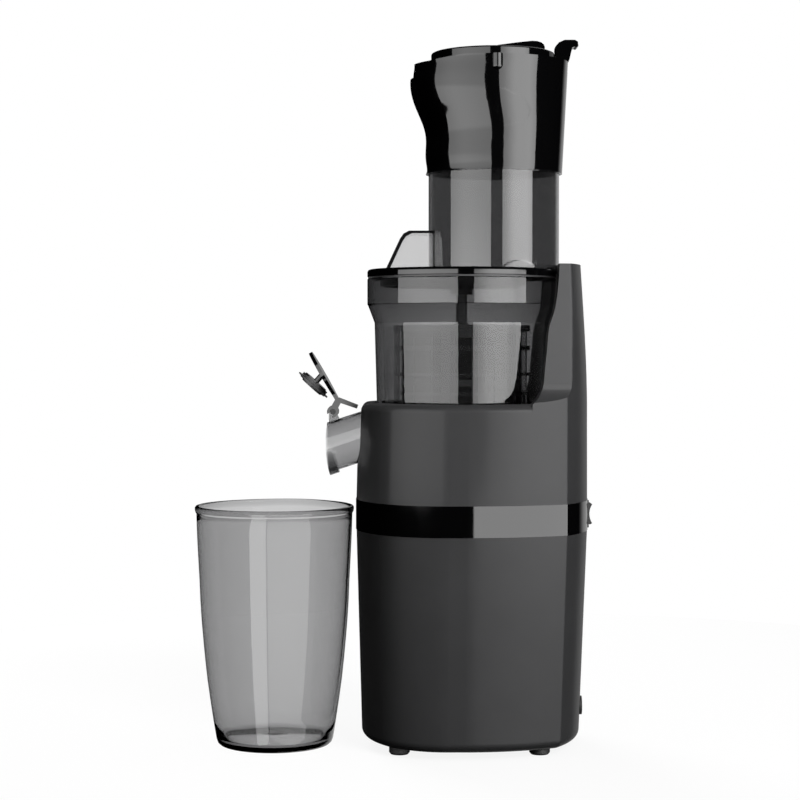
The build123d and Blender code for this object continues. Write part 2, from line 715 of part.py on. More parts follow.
def motor_end_cap():
    cap = ring(motor_radius, motor_shaft_radius + 1, motor_top_z, gearbox_bottom_z)
    cap += ring(10.0, 8.0 + bearing_gap, motor_top_z - 5, motor_top_z)
    cap -= post(8.0 + bearing_gap, motor_top_z - 6, motor_top_z)
    for place in around(3, motor_radius - 8, 60):
        cap -= place * Pos(0, 0, gearbox_bottom_z) * Cylinder(tie_radius + screw_gap, 20)
    return cap


def motor_screws():
    places = [place.position for place in around(3, motor_radius - 8, 60)]
    return Compound([screw(p.X, p.Y, motor_top_z, gearbox_bottom_z + 1.8).solid() for p in places])


def motor_bearings():
    inner = motor_shaft_radius + bearing_gap
    lows = (motor_bottom_z + 1.0, motor_top_z - 5.0)
    return Compound([ring(8.0, inner, low, low + 5.0).solid() for low in lows])


def motor_magnets():
    shell = ring(motor_radius - 1.65, rotor_radius + 0.8, rotor_low_z, rotor_high_z)
    return shell - block(-motor_radius, motor_radius, -8, 8, rotor_low_z - 1, rotor_high_z + 1)


def rotor_core():
    core = ring(rotor_radius, motor_shaft_radius + 0.02, rotor_low_z, rotor_high_z)
    for place in around(10, rotor_radius):
        core -= place * Pos(0, 0, (rotor_low_z + rotor_high_z) / 2) * Box(8, 1.4, 60)
    return core


def commutator():
    return ring(6.0, motor_shaft_radius + 0.02, rotor_high_z, motor_top_z - 5.4)


def motor_brushes():
    low = motor_top_z - 12.0
    blocks = [block(6.0 + gap, motor_radius - 1.7, -2.2, 2.2, low, low + 5.0),
              block(-motor_radius + 1.7, -6.0 - gap, -2.2, 2.2, low, low + 5.0)]
    return Compound([piece.solid() for piece in blocks])


def motor_shaft():
    return post(motor_shaft_radius, fan_z, fast_gear_z + fast_gear_thick)


def motor_pinion():
    pinion = gear(motor_teeth, fast_module, fast_gear_z, fast_gear_z + fast_gear_thick)
    return pinion - post(motor_shaft_radius + 0.02, fast_gear_z - 1, fast_gear_z + fast_gear_thick + 1)


def cooling_fan():
    fan = post(7.0, fan_z, fan_z + 8) + post(24.0, fan_z, fan_z + 1.4)
    for place in around(9, 14.5):
        fan += place * Pos(0, 0, fan_z + 4) * Box(18, 1.4, 8)
    return fan - post(motor_shaft_radius + 0.02, fan_z - 1, fan_z + 9)


# ======================================================================= small root parts
def control_board():
    board = block(board_x - board_thick / 2, board_x + board_thick / 2, -board_half, board_half, 26, 84)
    face = board_x + board_thick / 2
    board += Pos(face + 5, 8, 40) * Rot(0, 90, 0) * Cylinder(5, 10)
    board += block(face, face + 8, -16, -4, 34, 50)
    return board + block(face, face + 6, -10, 12, 60, 72)


def interlock_sensor():
    x = chute_x + chute_radius + 4.5
    return block(x, x + 5, -7, 7, lid_bottom_z - 14, lid_bottom_z - 2)


def cord_grommet():
    lip = grommet_radius + 2
    low = grommet_z - lip
    skin = rear_x + lower_shift(grommet_z) - lower_inset(grommet_z)
    seat_x = rear_x + lower_shift(low) - lower_inset(low) - wall - gap
    tube = Pos(skin - 3, 0, grommet_z) * Rot(0, 90, 0) * Cylinder(grommet_radius, 9)
    flange = Pos(seat_x - 1.0, 0, grommet_z) * Rot(0, 90, 0) * Cylinder(lip, 2)
    return tube + flange - Pos(skin, 0, grommet_z) * Rot(0, 90, 0) * Cylinder(3.4, 20)


def switch_bezel():
    half = switch_width / 2 + 1.3
    body = block(switch_x - 13, rear_x + 0.5, -half, half, switch_low_z - 0.6, switch_high_z + 0.6)
    hole = switch_width / 2 + gap
    body -= block(switch_x - 9, rear_x + 5, -hole, hole, switch_low_z + 0.1, switch_high_z - 0.1)
    return body - bar_y(1.2 + bearing_gap, switch_x, (switch_low_z + switch_high_z) / 2, half)


def power_rocker():
    middle = (switch_low_z + switch_high_z) / 2
    low, high = switch_low_z + switch_play, switch_high_z - switch_play
    front = ThreePointArc((rear_x + 2.8, low + 0.8), (rear_x + 1.0, middle), (rear_x + 2.8, high - 0.8))
    back = Polyline((rear_x + 2.8, high - 0.8), (rear_x + 1.4, high), (switch_x, high - 1.4),
                    (switch_x - 4, middle), (switch_x, low + 1.4), (rear_x + 1.4, low),
                    (rear_x + 2.8, low + 0.8))
    face = Plane.XZ * make_face([front, *back.edges()])
    rocker = extrude(face, switch_width / 2, both=True)
    return rocker + bar_y(1.2, switch_x, middle, switch_width / 2 + 1.0)


# ======================================================================= bowl
spout_bore = spout_radius - spout_wall
tube_outer = hub_radius + gap + seal_ring_wall + 2.0
tunnel_top_z = bowl_floor_z - bowl_floor
tunnel_z = bowl_foot_z + 2.2
tube_low_z = bowl_foot_z + 4.0
auger_low_z = tube_low_z + 1.0


def bowl_radius(z):
    """Outer radius of the bowl wall below its collar."""
    if z <= deck_z:
        share = (z - bowl_foot_z) / (deck_z - bowl_foot_z)
        return bowl_foot_radius + share * (bowl_deck_radius - bowl_foot_radius)
    share = (z - deck_z) / (bowl_neck_z - deck_z)
    return bowl_deck_radius + share * (bowl_neck_radius - bowl_deck_radius)


def bowl_inside(low):
    """Inside space of the bowl from a height up to past its rim."""
    return turned([(0, low), (bowl_radius(low) - bowl_wall, low), (bowl_deck_radius - bowl_wall, deck_z),
                   (bowl_neck_radius - bowl_wall, bowl_neck_z + 0.8),
                   (collar_radius - collar_wall, collar_bottom_z + 0.9),
                   (collar_radius - collar_wall, collar_top_z + 1),
                   (0, collar_top_z + 1)])


def bowl_outside():
    return turned([(0, bowl_foot_z), (bowl_foot_radius, bowl_foot_z), (bowl_deck_radius, deck_z),
                   (bowl_neck_radius, bowl_neck_z), (collar_radius - 0.6, collar_bottom_z - 0.6),
                   (collar_radius, collar_bottom_z + 0.6), (collar_radius, collar_top_z - 0.5),
                   (collar_radius - 0.5, collar_top_z), (0, collar_top_z)])


def gear_pocket_places():
    """Supports on the bowl floor under the strainer, beside the gears."""
    return [(bowl_reach, 0.0), (-bowl_reach, 0.0)]


def juice_bowl():
    inside = bowl_inside(bowl_floor_z)
    under = turned([(0, bowl_foot_z - 1), (bowl_foot_radius - bowl_wall, bowl_foot_z - 1),
                    (bowl_radius(tunnel_top_z) - bowl_wall, tunnel_top_z), (0, tunnel_top_z)])
    bowl = bowl_outside() - inside - under
    bowl += post(tube_outer, tube_low_z, bowl_floor_z)
    half = pulp_width / 2
    duct = block(-half, half, tube_outer - 2, pulp_reach_y, tunnel_z, bowl_floor_z)
    bowl += duct - post(tube_outer - 0.5, 0, 300)
    spout = spout_cutter(spout_radius, spout_tip_x - 8, -bowl_foot_radius + 8)
    spout += Pos(0, 0, -drip_lip) * spout_cutter(spout_radius, spout_tip_x - 8, spout_tip_x + drip_lip_length)
    spout &= bar_y(mouth_curve, spout_tip_x + mouth_curve, spout_tip_z + mouth_curve_rise, 40)
    bowl += spout - inside
    ear_top = cap_pivot_z
    ear = bar_y(cap_pin_radius + 1.2, cap_pivot_x, cap_pivot_z, 2.4)
    ear += slab_y([(cap_pivot_x - 2.6, ear_top - 1.5), (cap_pivot_x + 2.6, ear_top - 1.5),
                   (cap_pivot_x + 5.5, ear_top - 7.5), (cap_pivot_x - 2.6, ear_top - 7.5)], 2.4)
    bowl += ear - spout_cutter(spout_radius - 0.5, spout_tip_x - 8, -bowl_foot_radius)
    bowl += post(pulp_port_radius + pulp_port_wall, tunnel_top_z, strainer_base_z, 0, bowl_reach)
    for x, y in gear_pocket_places():
        bowl += post(4.5, tunnel_top_z, strainer_base_z, x, y)
    bowl += post(3.0, tunnel_top_z, strainer_base_z, 0, -bowl_reach)
    bowl -= post(pulp_port_radius, tunnel_z + 2, strainer_base_z + 1, 0, bowl_reach)
    bowl -= block(-half + 2, half - 2, tube_outer + 1.2, pulp_reach_y + 1, tunnel_z + 2, tunnel_top_z)
    bowl -= block(-half + 2, half - 2, bowl_foot_radius + 2, pulp_reach_y + 1, tunnel_z + 2,
                  tunnel_top_z + 0.4)
    bowl -= spout_cutter(spout_bore, spout_tip_x - 8, -bowl_foot_radius + 8)
    bowl -= post(hub_radius + gap + seal_ring_wall, 0, bowl_floor_z + 1)
    return bowl - bar_y(cap_pin_radius, cap_pivot_x, cap_pivot_z, 3)


def bowl_seal():
    outer = hub_radius + gap + seal_ring_wall
    sleeve = ring(outer - bearing_gap, hub_radius + gap, tube_low_z, tube_low_z + 7.0)
    return sleeve + ring(tube_outer - 0.6, hub_radius + gap, tube_low_z - 1.6, tube_low_z)


def cap_pin():
    return bar_y(cap_pin_radius - 0.01, cap_pivot_x, cap_pivot_z, 7.2)


def strainer_frame():
    inner = strainer_radius - strainer_wall
    frame = ring(strainer_radius, inner, strainer_base_z, strainer_top_z)
    frame += post(strainer_radius, strainer_base_z, strainer_base_z + 2)
    windows = 16
    step = (strainer_top_z - strainer_base_z - 12) / 2
    for place in around(windows, strainer_radius):
        for row in range(2):
            middle = strainer_base_z + 6 + step * (row + 0.5)
            frame -= place * Pos(0, 0, middle) * Box(12, 10.5, step - 4)
    frame -= post(hub_radius + 4.0, strainer_base_z - 1, strainer_base_z + 3)
    return frame - post(pulp_port_radius, strainer_base_z - 1, strainer_base_z + 3, 0, bowl_reach)


def strainer_mesh():
    outer = strainer_radius - strainer_wall - 0.02
    return ring(outer, outer - 0.5, strainer_base_z + 2, strainer_top_z)


auger_gear_turn = 0.0
pinion_direction = -90.0
bowl_gear_turn = meshed_turn(auger_gear_turn, bowl_teeth, bowl_teeth, pinion_direction)
brush_gear_turn = ring_turn(bowl_gear_turn, bowl_teeth, brush_teeth, pinion_direction)
bowl_gear_top = strainer_base_z - 2.0
core_top_z = strainer_base_z + 22.0
bearing_pin_radius = 3.6


def auger_screw():
    body = gear(bowl_teeth, bowl_module, gear_zone_z, bowl_gear_top, auger_gear_turn)
    body += post(hub_radius, auger_low_z, strainer_base_z + 3)
    low, high = strainer_base_z + 2.6, strainer_top_z - 2
    body += turned([(0, low - 2), (auger_core_radius, low - 2), (auger_core_radius + 8, low + 10),
                    (auger_core_radius + 2, high), (bearing_pin_radius + 2, high + 2.5),
                    (bearing_pin_radius, high + 3.5), (bearing_pin_radius, auger_top_z + 9),
                    (0, auger_top_z + 9)])
    blade = RectangleRounded(2 * auger_radius, 9.0, 3.0) & Circle(auger_radius)
    flights = Solid.extrude_linear_with_rotation(blade.face(), (0, 0, 0), (0, 0, high - low),
                                                 360.0 * auger_turns)
    body += Pos(0, 0, low) * flights
    return body - post(auger_core_radius - 4.0, bowl_foot_z, core_top_z)


def auger_core():
    core = post(auger_core_radius - 4.02, auger_low_z, core_top_z)
    return core - hexagon(drive_hex + 0.4, bowl_foot_z, shaft_top_z + 1.0)


def bowl_gear():
    wheel = gear(bowl_teeth, bowl_module, gear_zone_z, bowl_gear_top, bowl_gear_turn)
    journal = post(3.0 + bearing_gap, gear_zone_z - 1, bowl_gear_top + 1, 0, -bowl_reach)
    return Pos(0, -bowl_reach, 0) * wheel - journal


def brush_frame():
    outer = brush_inner_radius + brush_bar
    body = post(outer, gear_zone_z, bowl_gear_top)
    teeth = gear_face(brush_teeth, bowl_module, brush_gear_turn, True)
    body -= extrude(Pos(0, 0, gear_zone_z - 1) * teeth, 30)
    for low, high in ((224, 226), (236, 238), (252, 255), (264, strainer_top_z)):
        body += ring(outer, brush_inner_radius, low, high)
    for place in around(6, brush_inner_radius + brush_bar / 2, 15):
        middle = (gear_zone_z + strainer_top_z) / 2
        body += place * Pos(0, 0, middle) * Box(brush_bar, 5, strainer_top_z - gear_zone_z)
    return body


def brush_wipers():
    blades = []
    low, high = strainer_base_z + 2, strainer_top_z - 1
    for place in around(3, 0, 45):
        outline = [(strainer_radius + gap, low), (bowl_radius(low) - bowl_wall - 0.5, low),
                   (bowl_radius(deck_z) - bowl_wall - 0.5, deck_z),
                   (bowl_radius(high) - bowl_wall - 0.5, high), (strainer_radius + gap, high)]
        blade = place * slab_y(outline, 0.9)
        blades.append(blade)
    return blades


def brush_parts():
    """Brush frame with three slots, and the three silicone blades pushed into them."""
    frame, blades = brush_frame(), brush_wipers()
    for blade in blades:
        frame -= blade
    return frame, Compound([blade.solid() for blade in blades])


# ======================================================================= spout cap
cap_joint = (-79.0, 219.7)          # where plate, clips and tail meet, parked open
cap_lean = 119.8                    # degrees of the plate above the -X... +X horizontal
plate_reach = 35.5
plate_radius = 16.2
cap_plate_thick = 2.3
plug_place = (-94.5, 230.3)
plug_lean = 138.0
plug_radius = 10.0
plug_lip = 12.0


def tilted(x, z, lean):
    """Local frame in the X-Z plane: local x along the lean, local y along Y, local z its normal."""
    along = (cos(radians(lean)), 0, sin(radians(lean)))
    normal = (-sin(radians(lean)), 0, cos(radians(lean)))
    return Plane(origin=(x, 0, z), x_dir=along, z_dir=normal)


def cap_lever():
    base = tilted(*cap_joint, cap_lean)
    middle = plate_reach - plate_radius
    lever = base * Pos(middle, 0, 0) * Cylinder(plate_radius, cap_plate_thick)
    lever += base * Pos(middle / 2, 0, 0) * Box(middle + 2, cap_width, cap_plate_thick)
    tail = [(-80.2, 218.6), (-78.4, 221.6), (-66.2, 216.9), (-66.9, 214.9), (-77.2, 218.4)]
    lever += slab_y(tail, cap_width / 2)
    neck = [(-83.6, 215.6), (-80.4, 221.2), (-76.8, 219.4), (-79.4, 214.4)]
    eye = cap_pin_radius + 1.9
    clips = slab_y(neck, cap_width / 2) + bar_y(eye, cap_pivot_x, cap_pivot_z, cap_width / 2)
    clips -= bar_y(cap_pin_radius + 0.05, cap_pivot_x, cap_pivot_z, 20)
    clips -= block(-100, -60, -2.8, 2.8, 200, cap_pivot_z + 5.2)
    clips -= slab_y([(cap_pivot_x - 0.9, cap_pivot_z), (cap_pivot_x - 6, cap_pivot_z - 3.2),
                     (cap_pivot_x - 1.2, cap_pivot_z - 7), (cap_pivot_x + 0.3, cap_pivot_z - 1.4)], 20)
    return lever + clips + cap_stem()


def cap_stem():
    """Short mushroom stem between the plate and the plug."""
    base = tilted(*plug_place, plug_lean)
    face_x = plug_place[0] + 1.7 * cos(radians(plug_lean - 90))
    face_z = plug_place[1] + 1.7 * sin(radians(plug_lean - 90))
    plate = tilted(*cap_joint, cap_lean)
    reach = 6.2
    stem = base * Pos(0, 0, -1.7 - reach / 2) * Cylinder(1.9, reach)
    below = plate * Pos(20, 0, -10 - cap_plate_thick / 2) * Box(120, 60, 20)
    return stem - below + base * Pos(0, 0, -2.1) * Cylinder(plug_radius - 1.4, 0.8)


def cap_plug():
    base = tilted(*plug_place, plug_lean)
    plug = base * Cylinder(plug_radius, 3.4) + base * Pos(0, 0, 0.6) * Cylinder(plug_lip, 0.8)
    return plug + base * Pos(0, 0, 2.1) * Cylinder(plug_radius - 2.2, 0.9)


# ======================================================================= lid, chute, hopper
feed_edge_x = 9.8           # front edge of the feed opening in the lid floor


def lid_gasket():
    return ring(collar_radius - 0.4, collar_radius - 2.9, collar_top_z, lid_bottom_z)


def lid_cover():
    edge = 1.6
    lid = turned([(0, lid_bottom_z), (collar_radius - 0.4, lid_bottom_z), (collar_radius, lid_bottom_z + 0.4),
                  (collar_radius, lid_top_z - edge), (collar_radius - 0.5, lid_top_z - 0.5),
                  (collar_radius - edge, lid_top_z), (0, lid_top_z)])
    lid += post(chute_radius, lid_top_z - 3.0, lid_top_z, chute_x)
    lid += ring(skirt_radius, skirt_radius - skirt_wall, lid_bottom_z - skirt_depth, lid_bottom_z)
    feed = post(chute_radius - chute_wall, lid_bottom_z - skirt_depth - 1, lid_top_z + 1, chute_x)
    lid -= feed & block(feed_edge_x, 200, -100, 100, 0, 400)
    lid += post(bearing_pin_radius + 3.4, auger_top_z + 2.4, lid_bottom_z)
    lid -= post(bearing_pin_radius + 0.3, 0, auger_top_z + 9 + 0.8)
    return lid - post(2.55, 0, lid_bottom_z + 3.0, *magnet_place)


magnet_place = (27.5, 47.6)


def lid_magnet():
    return post(2.5, lid_bottom_z, lid_bottom_z + 3.0, *magnet_place)


hood_half = 16.7
hood_wall = 1.6
hood_top_z = 327.5


def hood_form(inset):
    """Sloped hood in front of the chute, drawn in by its wall for the inside."""
    points = [(-48.3, lid_top_z), (-39.4, 322.4), (-37.2, 325.6), (-33.6, hood_top_z),
              (chute_x - 20, hood_top_z), (chute_x - 20, lid_top_z)]
    shape = slab_y(points, hood_half)
    if inset:
        shape = shape & (Pos(inset * 1.05, 0, -inset) * shape)
        shape = shape & block(-60, 60, -hood_half + inset, hood_half - inset, lid_top_z - 1, hood_top_z)
    return shape


def feed_chute():
    tube = ring(chute_radius, chute_radius - chute_wall, lid_top_z, chute_top_z, chute_x)
    bore = post(chute_radius - chute_wall, 0, 500, chute_x)
    outside = hood_form(0.0) - post(chute_radius - 0.5, 0, 500, chute_x)
    inside = hood_form(hood_wall) - post(chute_radius, 0, 500, chute_x)
    return tube + (outside - inside) - bore


def hopper_section(z, inset=0.0):
    """Outline of the hopper at one height: round at the sleeve, wider towards the top."""
    share = min(max((z - hopper_straight_z) / (hopper_shoulder_z - 3 - hopper_straight_z), 0.0), 1.0)
    ease = share * share * (3 - 2 * share)
    rise = (z - hopper_bottom_z) / (hopper_top_z - hopper_bottom_z)
    front = (chute_x - hopper_radius) + ease * (hopper_front_x - chute_x + hopper_radius)
    rear = (chute_x + hopper_radius) + rise * (hopper_rear_x - chute_x - hopper_radius)
    side = hopper_radius + ease * (hopper_half_depth - hopper_radius)
    face = Ellipse((rear - front) / 2 - inset, side - inset)
    return Pos((front + rear) / 2, 0, z) * face


def hopper_form(low, high, inset):
    count = 9
    heights = [low + (high - low) * k / (count - 1) for k in range(count)]
    return loft([hopper_section(z, inset) for z in heights])


def hopper_shell():
    outer = hopper_form(hopper_bottom_z, hopper_top_z, 0.0)
    for side in (-1, 1):
        rib_y = side * (hopper_half_depth - rib_radius + 1.5)
        low = hopper_top_z - rib_depth
        outer += post(rib_radius, low, hopper_top_z, chute_x, rib_y)
        outer += Pos(chute_x, rib_y, low) * Sphere(rib_radius)
    inner = hopper_form(chute_top_z + 4, hopper_top_z - 2.2, hopper_wall)
    shell = outer - inner - post(chute_radius + gap, 0, chute_top_z + 0.2, chute_x)
    shell -= post(chute_radius - chute_wall, 0, hopper_top_z - 10, chute_x)
    shell -= post(mouth_radius, hopper_top_z - 10, hopper_top_z + 1, mouth_x)
    nose_z = hopper_top_z - nose_drop
    cavity = flap_knuckle_radius + gap
    half = flap_knuckle_width / 2
    wall_y = half + gap + 2.0
    nest = block(hopper_front_x, flap_pivot_x + 10.5, -wall_y, wall_y, flap_pivot_z - 10.5, flap_pivot_z + 4)
    shell += (nest & outer) - post(mouth_radius + 0.01, 0, 500, mouth_x)
    shell -= bar_y(cavity, flap_pivot_x, flap_pivot_z, half + gap)
    shell -= block(-60, flap_pivot_x + 16, -half - gap, half + gap, flap_pivot_z - 3.6, 500)
    slot = latch_width / 2 + 0.5
    latch_nest = block(latch_x - 6.0, latch_x + 4.0, -slot - 2, slot + 2, hopper_top_z - 8, hopper_top_z)
    shell += (latch_nest & outer) - post(mouth_radius + 0.01, 0, 500, mouth_x)
    shell -= block(latch_x - 4.3, latch_x + 20, -slot, slot, latch_z - 3.2, hopper_top_z + 1)
    shell -= bar_y(1.2 + bearing_gap / 2, latch_x, latch_z, slot + 1.5)
    dip = slab_y([(hopper_front_x - 5, nose_z), (flap_pivot_x + 4, nose_z), (flap_pivot_x + 24, hopper_top_z),
                  (flap_pivot_x + 24, hopper_top_z + 5), (hopper_front_x - 5, hopper_top_z + 5)], 60)
    return shell - dip - bar_y(1.5 + bearing_gap / 2, flap_pivot_x, flap_pivot_z, wall_y - 0.8)


def flap_pin():
    return bar_y(1.5, flap_pivot_x, flap_pivot_z, flap_knuckle_width / 2 + 1.4)


def latch_pin():
    return bar_y(1.2, latch_x, latch_z, latch_width / 2 + 1.9)


def hopper_flap():
    top = flap_bottom_z + flap_thick
    edge = 0.9
    step = flap_bottom_z + flap_step
    profile = [(0, flap_bottom_z), (flap_radius - 0.8, flap_bottom_z), (flap_radius - 0.8, step),
               (flap_radius, step), (flap_radius, top - edge), (flap_radius - 0.3, top - 0.3),
               (flap_radius - edge, top), (0, top + flap_dome)]
    disc = Pos(mouth_x, 0, 0) * turned(profile)
    half = flap_knuckle_width / 2
    disc -= block(-100, flap_pivot_x + 7.6, half, 100, 0, 500)
    disc -= block(-100, flap_pivot_x + 7.6, -100, -half, 0, 500)
    knuckle = bar_y(flap_knuckle_radius, flap_pivot_x, flap_pivot_z, half)
    arm = slab_y([(flap_pivot_x, flap_pivot_z), (flap_pivot_x, flap_pivot_z + flap_knuckle_radius),
                  (flap_pivot_x + 4.9, flap_pivot_z + flap_knuckle_radius + 1.3),
                  (flap_pivot_x + 5.0, top - 3.0),
                  (flap_pivot_x + 8, top - 0.9), (flap_pivot_x + 12, top), (flap_pivot_x + 12, flap_bottom_z),
                  (flap_pivot_x + 6, flap_bottom_z - 2)], half)
    outline = [(-3.0, -1.0), (-3.0, 0.0), (2.9, 4.7), (15.1, 6.3), (24.6, 7.3), (27.8, 7.1), (30.4, 6.3),
               (32.1, 4.9), (32.7, 3.2), (32.4, 1.0), (31.6, -1.0)]
    tab = slab_y([(mouth_x + x, top + z) for x, z in outline], 8.0)
    flap = disc + knuckle + arm + tab
    return flap - bar_y(1.5 + bearing_gap, flap_pivot_x, flap_pivot_z, half + 1)


def flap_latch():
    outline = [(-3.7, 6.1), (-3.5, 9.6), (-3.8, 11.6), (-3.6, 13.6), (-1.6, 15.9), (2.1, 17.5), (8.6, 17.5),
               (10.4, 16.4), (10.8, 13.6), (9.8, 12.8), (8.4, 13.2), (6.9, 12.7), (5.1, 4.9),
               (2.6, -0.6), (-1.4, -2.2), (-2.8, -0.2)]
    latch = slab_y([(latch_x + x, latch_z + z) for x, z in outline], latch_width / 2)
    return latch - bar_y(1.2 + bearing_gap, latch_x, latch_z, 7)


# ======================================================================= jug
def juice_jug():
    outer = [(0, 0.6), (jug_base_radius - 4, 0.6), (jug_base_radius - 3, 0), (jug_base_radius - 0.8, 0),
             (jug_base_radius + 0.7, 3), (41.3, 28), (44.5, 54), (46.7, 79), (48.0, 105), (49.3, 130),
             (49.9, jug_height - 4.4), (jug_rim_radius, jug_height - 3.2),
             (jug_rim_radius + 0.1, jug_height - 1.2),
             (jug_rim_radius - 0.9, jug_height), (jug_rim_radius - 2.4, jug_height - 0.6)]
    inner = [(49.9 - jug_wall, jug_height - 5.5), (49.3 - jug_wall, 130), (48.0 - jug_wall, 105),
             (46.7 - jug_wall, 79), (44.5 - jug_wall, 54), (41.3 - jug_wall, 28),
             (jug_base_radius - 0.6, 4.6), (jug_base_radius - 3, 3.2), (0, 3.0)]
    return Pos(jug_x, 0, 0) * turned(outer + inner)


# ======================================================================= write the sub-parts
def main():
    os.makedirs("parts", exist_ok=True)
    brush, wipers = brush_parts()
    pieces = {
        "lower_housing": lower_housing(), "trim_band": trim_band(), "upper_housing": upper_housing(),
        "base_plate": base_plate(), "tie_screws": tie_screws(),
        "gearbox_case": gearbox_case(), "gearbox_cover": gearbox_cover(),
        "gearbox_screws": gearbox_screws(), "idler_axle": idler_axle(),
        "shaft_bearings": shaft_bearings(), "bearing_clip": bearing_clip(), "shaft_seal": shaft_seal(),
        "motor_can": motor_can(), "motor_end_cap": motor_end_cap(), "motor_screws": motor_screws(),
        "motor_bearings": motor_bearings(), "motor_magnets": motor_magnets(),
        "motor_brushes": motor_brushes(), "control_board": control_board(),
        "interlock_sensor": interlock_sensor(), "cord_grommet": cord_grommet(),
        "switch_bezel": switch_bezel(), "power_rocker": power_rocker(),
        "output_gear": output_gear(), "drive_shaft": drive_shaft(), "drive_coupling": drive_coupling(),
        "idler_wheel": idler_wheel(), "idler_pinion": idler_pinion(),
        "rotor_core": rotor_core(), "commutator": commutator(), "motor_shaft": motor_shaft(),
        "motor_pinion": motor_pinion(), "cooling_fan": cooling_fan(),
        "juice_bowl": juice_bowl(), "bowl_seal": bowl_seal(), "cap_pin": cap_pin(),
        "strainer_frame": strainer_frame(), "strainer_mesh": strainer_mesh(),
        "auger_screw": auger_screw(), "auger_core": auger_core(), "bowl_gear": bowl_gear(),
        "brush_frame": brush, "brush_wipers": wipers,
        "cap_lever": cap_lever(), "cap_plug": cap_plug(),
        "lid_gasket": lid_gasket(), "lid_cover": lid_cover(), "lid_magnet": lid_magnet(),
        "feed_chute": feed_chute(), "hopper_shell": hopper_shell(),
        "flap_pin": flap_pin(), "latch_pin": latch_pin(), "hopper_flap": hopper_flap(),
        "flap_latch": flap_latch(), "juice_jug": juice_jug(),
    }
    for (x, y) in feet_places:
        end = "front" if x < 0 else "rear"
        hand = "left" if y > 0 else "right"
        pieces[f"foot_{end}_{hand}"] = foot(x, y)
    for name, shape in pieces.items():
        save(name, shape)


if __name__ == "__main__":
    main()
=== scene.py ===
"""Looks of the cold press juicer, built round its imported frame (metres, +Z up, front at -X)."""
import json
import math

import bmesh
import bpy
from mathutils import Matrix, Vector


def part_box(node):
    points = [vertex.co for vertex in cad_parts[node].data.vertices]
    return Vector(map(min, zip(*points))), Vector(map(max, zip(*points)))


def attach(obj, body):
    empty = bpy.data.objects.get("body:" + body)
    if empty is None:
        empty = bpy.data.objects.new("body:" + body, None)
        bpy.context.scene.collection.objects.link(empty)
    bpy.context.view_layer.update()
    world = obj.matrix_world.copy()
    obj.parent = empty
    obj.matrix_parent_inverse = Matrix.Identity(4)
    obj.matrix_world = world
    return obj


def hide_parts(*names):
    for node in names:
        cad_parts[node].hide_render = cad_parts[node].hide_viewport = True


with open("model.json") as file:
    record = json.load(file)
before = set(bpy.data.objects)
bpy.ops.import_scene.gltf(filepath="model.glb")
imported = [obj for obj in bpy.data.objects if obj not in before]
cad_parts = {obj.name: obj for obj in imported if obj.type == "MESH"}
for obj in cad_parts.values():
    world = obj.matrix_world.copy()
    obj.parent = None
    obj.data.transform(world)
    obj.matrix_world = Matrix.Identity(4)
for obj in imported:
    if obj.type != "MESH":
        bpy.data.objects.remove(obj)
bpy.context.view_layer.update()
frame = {"nodes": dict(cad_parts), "record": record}
nodes = frame["nodes"]
scene = bpy.context.scene
scene.view_settings.view_transform = "Standard"

# ---- the photograph's view ------------------------------------------------------------
photo_px = 800
focal_px = 1980.0
metres_per_px = 0.00064          # at the drive axis
axis_px = (461.5, 744.0)         # the drive axis at the standing level
horizon_px = 342.0
sensor_mm = 36.0

# ---- studio ---------------------------------------------------------------------------
# Panels that only gloss sees. "span" is in degrees from the camera's side towards +X, seen from
# "about"; "across" and "upward" grade the panel from its left to its right and from its foot to its top.
even = ((0.0, 1.0), (1.0, 1.0))
panels = {
    "left_panel": {"span": (-82.0, -6.0), "away": 0.68, "low": 0.11, "high": 0.81, "radiance": 4.7,
                   "across": ((0.0, 0.74), (0.45, 1.0), (1.0, 0.86)),
                   "upward": ((0.0, 1.0), (0.30, 1.0), (0.42, 0.80), (1.0, 0.66))},
    "right_panel": {"span": (13.0, 68.0), "away": 1.20, "low": 0.355, "high": 1.06, "radiance": 6.6,
                    "across": ((0.0, 0.52), (0.45, 1.0), (0.75, 1.0), (1.0, 0.80)),
                    "upward": even},
    "right_mid_panel": {"span": (13.0, 81.0), "away": 1.20, "low": 0.09, "high": 0.355, "radiance": 6.6,
                        "across": ((0.0, 0.52), (0.376, 1.0), (0.606, 1.0), (0.785, 0.80), (1.0, 0.80)),
                        "upward": even},
    "right_low_panel": {"span": (5.5, 80.5), "away": 1.20, "low": -0.50, "high": 0.09, "radiance": 5.2,
                        "across": even,
                        "upward": ((0.0, 0.35), (0.50, 0.38), (0.87, 1.0), (1.0, 1.0))},
}
# The jug has panels of its own, round its own axis, and a card that parts it from the housing.
jug_panels = {
    "jug_strip": {"span": (-33.0, -9.0), "away": 0.80, "low": -0.60, "high": 0.16, "radiance": 3.2,
                  "across": even, "upward": even},
    "jug_wide": {"span": (-7.0, 66.0), "away": 0.80, "low": -0.60, "high": 0.16, "radiance": 3.4,
                 "across": ((0.0, 0.70), (0.70, 0.80), (1.0, 1.0)),
                 "upward": ((0.0, 0.55), (0.80, 0.75), (1.0, 1.3))},
}
jug_flag = {"x": -0.0672, "half": 0.060, "top": 0.157}
